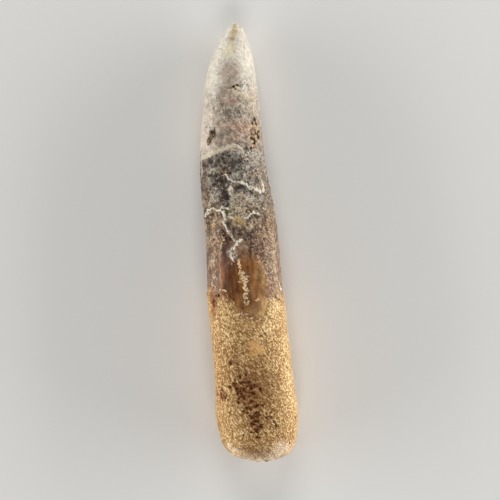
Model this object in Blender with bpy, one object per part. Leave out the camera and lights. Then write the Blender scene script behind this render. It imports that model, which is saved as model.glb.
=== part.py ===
# A fossil plesiosaur tooth, crown and root in one piece, lying on its side.
# Metres, +Z up. The tip points to +Y. The origin is on the surface that the tooth
# lies on, under the middle of its box.

import math

import bmesh
import bpy
from mathutils import Vector, noise

MM = 0.001

# Driving sizes, in millimetres. Stations are distances from the tip.
LENGTH = 74.0
MIDDLE = LENGTH / 2
TIP_NOSE = 1.2
END_ROUNDING_ACROSS = 4.0
END_ROUNDING_UP = 3.4
END_SQUARENESS = 3.0
END_REACH = 7.0
END_PEAK_X = 1.0
END_SLANT_LEFT = 0.15
END_SLANT_RIGHT = 0.10

# Station, left edge, right edge, underside, top.
OUTLINE = (
    (0.0, 0.02, 1.46, 2.45, 3.85),
    (2.0, -1.46, 2.23, 1.55, 4.90),
    (5.0, -3.18, 3.02, 0.85, 6.15),
    (8.0, -4.51, 3.48, 0.45, 7.10),
    (12.0, -5.43, 3.69, 0.18, 8.05),
    (18.0, -6.24, 4.00, 0.02, 8.90),
    (24.0, -6.80, 4.16, 0.08, 9.40),
    (30.0, -6.73, 4.90, 0.28, 9.70),
    (36.0, -6.63, 5.52, 0.46, 9.85),
    (41.0, -6.72, 5.62, 0.48, 9.92),
    (46.0, -6.90, 5.72, 0.42, 9.94),
    (52.0, -6.62, 5.86, 0.28, 9.92),
    (60.0, -6.53, 6.34, 0.20, 9.90),
    (66.0, -6.72, 6.70, 0.20, 9.80),
    (70.0, -6.30, 6.45, 0.30, 9.65),
    (74.0, -5.90, 6.05, 0.55, 9.35),
)

# The section is round in the crown and a little squarer in the root.
CROWN_SECTION = 2.0
ROOT_SECTION = 2.35
SECTION_CHANGES = (34.0, 56.0)

# The root's crust stands proud of the crown. Its wavy edge dips in a tongue on top,
# and is nearer to the tip on the left than on the right.
CRUST_EDGE = 45.4
CRUST_LEAN = 0.9
CRUST_PROUD = 0.16
CRUST_LEDGE = 0.35
TONGUE_DEPTH = 4.0
TONGUE_HALF_WIDTH = 0.42
CRUST_FADE = 1.0
EDGE_WAVE = 0.55
EDGE_WAVE_RADIUS = 2.0
EDGE_WAVE_PLACE = 4.7
EDGE_REACH = 9.0

# Gentle lumps of the fossil's surface, and the roughness of its broken end.
LUMP_SIZE = 6.5
LUMP_HEIGHT = 0.10
LUMP_START = 10.0
BREAK_SIZE = 2.4
BREAK_HEIGHT = 0.42
BREAK_START = 71.5

# How far the underside is worn flat where the tooth lies.
WORN = 0.10

SEGMENTS = 48
RINGS = 74
OUTLINE_SAMPLES = 600
SHARP_ANGLE = 40.0

# How finely each kind of cutter ball is divided.
PIT_DETAIL = 2
PORE_DETAIL = 1
CHIP_DETAIL = 2

# Pits seen on top: across, station, half width, half length, depth.
TOP_PITS = (
    (-4.60, 19.4, 0.62, 1.05, 0.30),
    (-0.15, 11.2, 0.62, 0.28, 0.22),
    (-3.85, 56.9, 0.32, 0.38, 0.30),
    (-2.45, 59.2, 0.26, 0.34, 0.30),
    (-4.00, 60.7, 0.46, 0.34, 0.32),
    (-1.80, 60.3, 0.46, 0.30, 0.36),
    (-0.70, 61.0, 0.30, 0.40, 0.36),
    (0.75, 61.3, 0.26, 0.44, 0.32),
    (-2.80, 61.9, 0.34, 0.50, 0.34),
    (-0.35, 62.2, 0.46, 0.34, 0.38),
    (-1.75, 62.8, 0.30, 0.46, 0.34),
    (-2.80, 63.4, 0.36, 0.32, 0.36),
    (-0.75, 63.5, 0.44, 0.36, 0.36),
    (-1.05, 64.7, 0.24, 0.42, 0.34),
    (-2.10, 65.0, 0.30, 0.24, 0.28),
    (0.15, 65.6, 0.34, 0.32, 0.32),
    (-1.00, 65.9, 0.30, 0.30, 0.30),
    (-0.10, 66.7, 0.36, 0.30, 0.34),
    (1.45, 66.2, 0.26, 0.30, 0.26),
    (-0.30, 67.5, 0.30, 0.28, 0.30),
    (-0.20, 68.2, 0.34, 0.28, 0.32),
    (-1.20, 68.6, 0.28, 0.26, 0.28),
    (-2.40, 69.0, 0.20, 0.38, 0.26),
)

# Smaller pores scattered round the rest of the root, by a fixed rule.
PORE_COUNT = 16
PORE_STATIONS = (51.0, 69.0)
PORE_RADIUS = 0.32
PORE_DEPTH = 0.24
PORE_ANGLES = (-1.05, 0.55)
PORE_SPREAD = 0.618

# Chips out of the broken end's rim: across, station, height, radius.
CHIPS = (
    (-5.00, 72.75, 7.6, 1.10),
    (-3.90, 73.60, 7.9, 0.85),
    (4.55, 73.60, 7.6, 0.95),
    (-1.10, 74.20, 1.3, 1.00),
    (-5.80, 71.90, 4.0, 0.75),
)

FOSSIL_COLOUR = (0.36, 0.23, 0.13, 1.0)
FOSSIL_ROUGHNESS = 0.5


def smooth(value, low, high):
    """0 below low, 1 above high, and a smooth step between them."""
    share = min(1.0, max(0.0, (value - low) / (high - low)))
    return share * share * (3 - 2 * share)


def outline_slope(row, column):
    """Slope of one column of the outline at one of its rows."""
    before = OUTLINE[max(row - 1, 0)]
    after = OUTLINE[min(row + 1, len(OUTLINE) - 1)]
    return (after[column] - before[column]) / (after[0] - before[0])


def outline_at(station):
    """Left, right, underside and top at a station, on a smooth curve through the rows."""
    station = min(max(station, OUTLINE[0][0]), OUTLINE[-1][0])
    row = max(i for i in range(len(OUTLINE) - 1) if OUTLINE[i][0] <= station)
    first, second = OUTLINE[row], OUTLINE[row + 1]
    span = second[0] - first[0]
    u = (station - first[0]) / span
    values = []
    for column in range(1, 5):
        values.append(
            (2 * u**3 - 3 * u**2 + 1) * first[column]
            + (u**3 - 2 * u**2 + u) * span * outline_slope(row, column)
            + (3 * u**2 - 2 * u**3) * second[column]
            + (u**3 - u**2) * span * outline_slope(row + 1, column)
        )
    return values


def rounding_at(station, end_rounding):
    """The share of its full section that the tooth has at a station, less at both ends."""
    share = 1.0
    if station < TIP_NOSE:
        share = math.sqrt(max(0.0, 1 - (1 - station / TIP_NOSE) ** 2))
    start = LENGTH - end_rounding
    if station > start:
        along = min(1.0, (station - start) / end_rounding)
        share = (1 - along**END_SQUARENESS) ** (1 / END_SQUARENESS)
    return share


def section_at(station):
    """Middle x, half width, middle z, half height and squareness of the section there."""
    left, right, under, top = outline_at(station)
    across = rounding_at(station, END_ROUNDING_ACROSS)
    up = rounding_at(station, END_ROUNDING_UP)
    middle = (left + right) / 2
    if station > MIDDLE:
        middle += (1 - across) * (END_PEAK_X - middle)
    power = CROWN_SECTION + (ROOT_SECTION - CROWN_SECTION) * smooth(station, *SECTION_CHANGES)
    return middle, across * (right - left) / 2, (under + top) / 2, up * (top - under) / 2, power


def crust_edge_at(angle):
    """Station of the crust's edge round the tooth. The angle is 0 at +X and a quarter turn on top."""
    from_top = math.remainder(angle - math.pi / 2, 2 * math.pi)
    tongue = TONGUE_DEPTH * math.exp(-((from_top / TONGUE_HALF_WIDTH) ** 2))
    c, s = EDGE_WAVE_RADIUS * math.cos(angle), EDGE_WAVE_RADIUS * math.sin(angle)
    wave = EDGE_WAVE * noise.noise(Vector((c, s, EDGE_WAVE_PLACE)))
    return CRUST_EDGE + CRUST_LEAN * math.cos(angle) + tongue + wave


def tooth_point(station, angle):
    """A point of the surface, in millimetres, before the underside is worn flat."""
    middle_x, half_x, middle_z, half_z, power = section_at(station)
    c, s = math.cos(angle), math.sin(angle)
    across = math.copysign(abs(c) ** (2 / power), c)
    up = math.copysign(abs(s) ** (2 / power), s)
    x, z = middle_x + half_x * across, middle_z + half_z * up
    slope = END_SLANT_LEFT if x < END_PEAK_X else END_SLANT_RIGHT
    slant = slope * abs(x - END_PEAK_X) * smooth(station, LENGTH - END_REACH, LENGTH)
    place = Vector((x, MIDDLE - station + slant, z))
    outward = Vector((c, 0.0, s))
    raised = CRUST_PROUD * smooth(station - crust_edge_at(angle), 0.0, CRUST_LEDGE)
    raised *= 1 - smooth(station, LENGTH - END_REACH, LENGTH - CRUST_FADE)
    lump = LUMP_HEIGHT * noise.noise(place / LUMP_SIZE) * smooth(station, 0.0, LUMP_START)
    rough = BREAK_HEIGHT * noise.noise(place / BREAK_SIZE) * smooth(station, BREAK_START, LENGTH)
    return place + outward * (raised + lump) + Vector((0.0, rough, 0.0))


def ring_stations():
    """Stations of the rings, evenly spread along the outline from the tip to the broken end."""
    lengths, stations = [0.0], [0.0]
    for i in range(1, OUTLINE_SAMPLES + 1):
        share = (1 - math.cos(math.pi * i / OUTLINE_SAMPLES)) / 2
        station = LENGTH * share
        rise = section_at(station)[1] - section_at(stations[-1])[1]
        lengths.append(lengths[-1] + math.hypot(station - stations[-1], rise))
        stations.append(station)
    spread, row = [], 0
    for ring in range(RINGS + 1):
        wanted = lengths[-1] * ring / RINGS
        while row < len(lengths) - 2 and lengths[row + 1] < wanted:
            row += 1
        u = (wanted - lengths[row]) / (lengths[row + 1] - lengths[row])
        spread.append(stations[row] + u * (stations[row + 1] - stations[row]))
    return spread


def snap_to_ledge(stations):
    """Moves the two rings nearest to the crust's edge onto the ledge's foot and crest."""
    foot = min(range(len(stations)), key=lambda i: abs(stations[i] - CRUST_EDGE))
    stations[foot] = CRUST_EDGE
    stations[foot + 1] = CRUST_EDGE + CRUST_LEDGE
    return stations


def wave_with_edge(station, angle):
    """Moves a ring near the crust's edge along with that edge's wavy line."""
    reach = 1 - smooth(abs(station - CRUST_EDGE - CRUST_LEDGE / 2), CRUST_LEDGE, EDGE_REACH)
    return station + reach * (crust_edge_at(angle) - CRUST_EDGE)


def top_height(x, station):
    """Height of the upper surface at a place across the tooth."""
    middle_x, half_x, middle_z, half_z, power = section_at(station)
    across = min(1.0, abs(x - middle_x) / half_x)
    return middle_z + half_z * (1 - across**power) ** (1 / power)


def add_ball(bm, place, radii, subdivisions):
    """Adds a ball stretched to the given radii, in millimetres, for a cutter."""
    made = bmesh.ops.create_icosphere(bm, subdivisions=subdivisions, radius=1.0)
    for vert in made["verts"]:
        vert.co = Vector(a * r for a, r in zip(vert.co, radii)) + Vector(place)


def finished_object(name, bm):
    """Turns a mesh in millimetres into an object in metres."""
    bmesh.ops.scale(bm, vec=(MM, MM, MM), verts=bm.verts)
    mesh = bpy.data.meshes.new(name)
    bm.to_mesh(mesh)
    bm.free()
    made = bpy.data.objects.new(name, mesh)
    bpy.context.scene.collection.objects.link(made)
    return made


def fossil_material():
    material = bpy.data.materials.new("fossil")
    material.use_nodes = True
    shader = material.node_tree.nodes["Principled BSDF"]
    shader.inputs["Base Color"].default_value = FOSSIL_COLOUR
    shader.inputs["Roughness"].default_value = FOSSIL_ROUGHNESS
    shader.inputs["Metallic"].default_value = 0.0
    return material


def make_tooth():
    """The whole tooth: a ball drawn out ring by ring to the tooth's surface."""
    bm = bmesh.new()
    bmesh.ops.create_uvsphere(bm, u_segments=SEGMENTS, v_segments=RINGS, radius=1.0)
    stations = snap_to_ledge(ring_stations())
    for vert in bm.verts:
        ring = round(RINGS * math.acos(max(-1.0, min(1.0, -vert.co.z))) / math.pi)
        angle = math.atan2(vert.co.y, vert.co.x)
        place = tooth_point(wave_with_edge(stations[ring], angle), angle)
        place.z = max(0.0, place.z - WORN)
        vert.co = place
    bmesh.ops.recalc_face_normals(bm, faces=bm.faces)
    tooth = finished_object("tooth", bm)
    tooth.data.materials.append(fossil_material())
    return tooth


def make_pit_cutter():
    """Balls that sink the pits and pores into the surface."""
    bm = bmesh.new()
    for x, station, half_width, half_length, depth in TOP_PITS:
        place = (x, MIDDLE - station, top_height(x, station) - WORN)
        add_ball(bm, place, (half_width, half_length, depth), PIT_DETAIL)
    for i in range(PORE_COUNT):
        share = (i + 0.5) / PORE_COUNT
        station = PORE_STATIONS[0] + share * (PORE_STATIONS[1] - PORE_STATIONS[0])
        low, high = PORE_ANGLES
        angle = low + (high - low) * (i * PORE_SPREAD % 1.0)
        if i % 2:
            angle = math.pi - angle
        place = tooth_point(station, angle) - Vector((0.0, 0.0, WORN))
        add_ball(bm, place, (PORE_DEPTH, PORE_RADIUS, PORE_RADIUS), PORE_DETAIL)
    return finished_object("pit_cutter", bm)


def make_chip_cutter():
    """Balls that break small chips out of the end's rim."""
    bm = bmesh.new()
    for x, station, height, radius in CHIPS:
        add_ball(bm, (x, MIDDLE - station, height), (radius, radius, radius), CHIP_DETAIL)
    return finished_object("chip_cutter", bm)


def cut(tooth, cutter):
    cutter.hide_render = True
    cutter.display_type = "WIRE"
    boolean = tooth.modifiers.new(cutter.name, "BOOLEAN")
    boolean.operation = "DIFFERENCE"
    boolean.solver = "EXACT"
    boolean.use_self = True
    boolean.object = cutter


def main():
    for old in list(bpy.data.objects):
        bpy.data.objects.remove(old)
    tooth = make_tooth()
    cut(tooth, make_pit_cutter())
    cut(tooth, make_chip_cutter())
    tooth.data.shade_smooth()
    tooth.data.set_sharp_from_angle(angle=math.radians(SHARP_ANGLE))


main()
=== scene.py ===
import math

import bmesh
import bpy
import numpy as np
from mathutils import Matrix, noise


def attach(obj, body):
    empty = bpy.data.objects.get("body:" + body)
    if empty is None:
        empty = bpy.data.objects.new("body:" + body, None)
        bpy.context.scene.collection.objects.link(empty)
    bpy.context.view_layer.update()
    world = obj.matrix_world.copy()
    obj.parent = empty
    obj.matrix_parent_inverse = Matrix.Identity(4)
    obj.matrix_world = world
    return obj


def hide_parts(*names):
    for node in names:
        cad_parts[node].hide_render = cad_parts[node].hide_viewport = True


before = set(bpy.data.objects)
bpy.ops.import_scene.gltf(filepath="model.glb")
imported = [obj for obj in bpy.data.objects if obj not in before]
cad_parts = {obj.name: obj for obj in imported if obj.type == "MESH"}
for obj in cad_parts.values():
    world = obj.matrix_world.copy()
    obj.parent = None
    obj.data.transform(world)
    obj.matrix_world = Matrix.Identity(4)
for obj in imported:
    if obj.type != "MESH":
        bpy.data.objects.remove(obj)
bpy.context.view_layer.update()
print("frame loaded")

mm = 0.001

# The tooth's shape, in millimetres. A station is a distance from the tip, and an outline
# row is a station, the left edge, the right edge, the underside and the top.
tooth = {
    "length": 74.0,
    "segments": 208,
    "rings": 458,
    "tipNose": 1.2,
    "endAcross": 4.0,
    "endUp": 3.4,
    "endSquareness": 3.0,
    "endReach": 7.0,
    "endPeakX": 1.0,
    "endSlants": (0.15, 0.10),
    "outline": (
        (0.0, 0.02, 1.46, 2.45, 3.85),
        (2.0, -1.46, 2.23, 1.55, 4.90),
        (5.0, -3.18, 3.02, 0.85, 6.15),
        (8.0, -4.51, 3.48, 0.45, 7.10),
        (12.0, -5.43, 3.69, 0.18, 8.05),
        (18.0, -6.24, 4.00, 0.02, 8.90),
        (24.0, -6.80, 4.16, 0.08, 9.40),
        (30.0, -6.73, 4.90, 0.28, 9.70),
        (36.0, -6.63, 5.52, 0.46, 9.85),
        (41.0, -6.72, 5.62, 0.48, 9.92),
        (46.0, -6.90, 5.72, 0.42, 9.94),
        (52.0, -6.62, 5.86, 0.28, 9.92),
        (60.0, -6.53, 6.34, 0.20, 9.90),
        (66.0, -6.72, 6.70, 0.20, 9.80),
        (70.0, -6.30, 6.45, 0.30, 9.65),
        (74.0, -5.90, 6.05, 0.55, 9.35),
    ),
    "crownSection": 2.0,
    "rootSection": 2.35,
    "sectionChange": (34.0, 56.0),
    "crustProud": 0.16,
    "crustLedge": 1.20,
    "crustRelief": 0.42,
    "lumpSize": 6.5,
    "lumpHeight": 0.10,
    "breakSize": 2.4,
    "breakHeight": 0.55,
    "breakStart": 71.5,
    "worn": 0.10,
    "breakGrains": (0.36, 0.24),
    "chips": ((-5.00, 72.75, 7.6, 1.10), (-3.90, 73.60, 7.9, 0.85), (4.55, 73.60, 7.6, 0.95),
              (-1.10, 74.20, 1.3, 1.00), (-5.80, 71.90, 4.0, 0.75)),
    "lumpGrains": (0.30, 0.40, 0.35),
    "boneGrains": (0.030, 0.030),
    "lineHeight": 0.10,
    "lineGrain": 0.06,
    "crackDepth": 0.06,
    "crustGrains": (0.25, 0.15),
    "unseenMoved": 1.7,
    "unseenWaver": 0.8,
}

# How marks are drawn: how far small and fine noise bend a line, and how much less the calm kinds
# bend, how far noise moves a blot, and how each kind of mark fades from its middle.
drawing = {
    "lineBend": (0.24, 0.28), "calm": 0.3, "calmKinds": ("band", "deposit"), "lineFade": (0.2, 2.6),
    "blotBend": 0.5, "blotFade": 0.9, "pitBend": (0.12, 0.06), "pitFade": 0.8, "pitFullyDark": 0.2,
}

# The soft noises that bend marks and raise relief, by the size of their lumps in millimetres.
wobbleSizes = {
    "small": 0.8, "smallAlong": 0.8, "middle": 1.7, "middleAlong": 1.7, "broad": 4.0,
    "fine": 0.38, "fineAlong": 0.38,
}

# Marks are placed by how far they are across from the tip's line, and by their station.
tipLine = 0.82

# The line where the root's crust ends against the crown, across the top and then under.
crustLine = (
    (-7.7, 44.3), (-6.6, 45.5), (-5.2, 46.2), (-4.2, 46.4), (-3.5, 47.3), (-2.8, 48.6),
    (-2.2, 49.2), (-1.2, 49.7), (-0.6, 49.9), (0.2, 49.6), (1.2, 49.6), (1.7, 49.0),
    (2.0, 47.6), (2.3, 47.0), (3.2, 46.6), (4.0, 46.3), (4.9, 45.8),
)
crustUnder = ((-180, 45.2), (-150, 44.6), (-120, 45.4), (120, 46.0), (150, 45.0), (180, 45.2))

# Lines on the surface: half width, then the points that the line runs through.
lines = {
    "vein": (
        (0.14, ((-3.3, 26.0), (-2.9, 26.6), (-2.4, 27.2), (-1.9, 27.1), (-1.2, 27.3), (-0.4, 27.4),
                (0.0, 27.9), (0.4, 28.4), (1.1, 28.5), (1.8, 28.8), (2.5, 28.9), (2.9, 28.7))),
        (0.08, ((-2.5, 27.3), (-2.7, 28.2), (-2.9, 28.9), (-2.4, 29.6))),
        (0.08, ((2.8, 28.5), (2.6, 27.7), (2.4, 27.0))),
        (0.12, ((-7.3, 32.3), (-6.8, 31.8), (-6.3, 31.4), (-5.8, 31.3), (-5.3, 31.6), (-4.7, 31.7),
                (-4.2, 31.3), (-3.6, 31.4), (-3.4, 31.7))),
        (0.07, ((-4.8, 31.9), (-4.3, 31.9), (-3.9, 32.3))),
        (0.13, ((-4.5, 31.7), (-3.9, 32.2), (-3.8, 33.0), (-4.0, 33.8), (-4.1, 34.2))),
        (0.09, ((-4.1, 34.2), (-3.6, 35.0), (-3.2, 35.6), (-2.9, 36.2), (-2.7, 36.9))),
        (0.11, ((-2.7, 38.2), (-2.5, 37.6), (-2.1, 37.2), (-1.7, 37.1), (-1.4, 36.7))),
        (0.09, ((-1.0, 33.4), (-0.5, 33.1), (-0.1, 33.1), (0.2, 32.8), (0.6, 32.5), (0.9, 32.1),
                (1.2, 32.5), (1.5, 32.6), (1.8, 32.8))),
        (0.07, ((-3.4, 38.9), (-3.2, 39.8), (-2.9, 40.2))),
        (0.07, ((-2.0, 20.8), (-1.3, 20.9), (-0.8, 21.3))),
        (0.06, ((4.0, 43.9), (4.3, 44.6), (4.5, 45.3))),
    ),
    "deposit": (
        (0.11, ((-2.1, 39.9), (-2.15, 40.7), (-2.05, 41.5), (-1.8, 42.2))),
        (0.15, ((-1.5, 43.6), (-1.35, 44.4), (-1.4, 45.2), (-1.25, 46.0), (-1.4, 46.8), (-1.35, 47.4))),
        (0.1, ((-5.7, 44.8), (-5.1, 44.8), (-4.6, 45.1))),
    ),
    "band": (
        (0.28, ((-7.6, 23.0), (-6.8, 22.6), (-6.0, 22.3), (-5.2, 22.1))),
        (0.2, ((-5.2, 22.1), (-4.5, 21.9), (-3.0, 21.4), (-1.9, 21.2), (-1.1, 21.3))),
        (0.12, ((-1.1, 21.3), (-0.5, 21.7), (-0.25, 22.3))),
        (0.2, ((-7.3, 22.8), (-7.4, 24.0), (-7.2, 25.2))),
    ),
    "ash": (
        (0.1, ((-3.9, 15.5), (-3.2, 15.2), (-2.8, 14.7), (-2.3, 14.5), (-2.0, 14.9), (-1.5, 15.2),
                (-1.2, 15.9), (-0.9, 16.3))),
        (0.12, ((-1.7, 24.9), (-1.4, 24.6), (-1.0, 24.5))),
        (0.13, ((-1.6, 25.9), (-1.3, 25.6), (-1.0, 25.7))),
        (0.12, ((0.0, 25.9), (0.5, 25.7), (0.9, 25.8))),
        (0.13, ((0.1, 22.9), (0.7, 22.4), (1.3, 22.5), (1.9, 22.9))),
        (0.12, ((0.3, 23.5), (0.8, 23.1), (1.4, 23.2), (1.9, 23.6))),
        (0.11, ((0.8, 24.2), (1.4, 23.9), (2.0, 24.3))),
        (0.11, ((0.0, 22.3), (0.5, 22.1), (1.0, 22.2))),
        (0.2, ((2.0, 25.2), (2.4, 26.0), (2.2, 27.0), (2.7, 28.2))),
    ),
    "crack": (
        (0.05, ((-4.0, 5.0), (-3.4, 4.7), (-2.8, 4.5), (-2.4, 4.4))),
        (0.06, ((0.3, 11.0), (0.9, 11.0), (1.6, 11.2))),
        (0.1, ((3.1, 46.4), (3.7, 46.8), (4.4, 47.4))),
        (0.07, ((-0.2, 73.5), (0.3, 73.6), (0.9, 73.5))),
        (0.06, ((-6.2, 17.6), (-5.0, 18.0), (-4.4, 18.3))),
    ),
}

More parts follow.
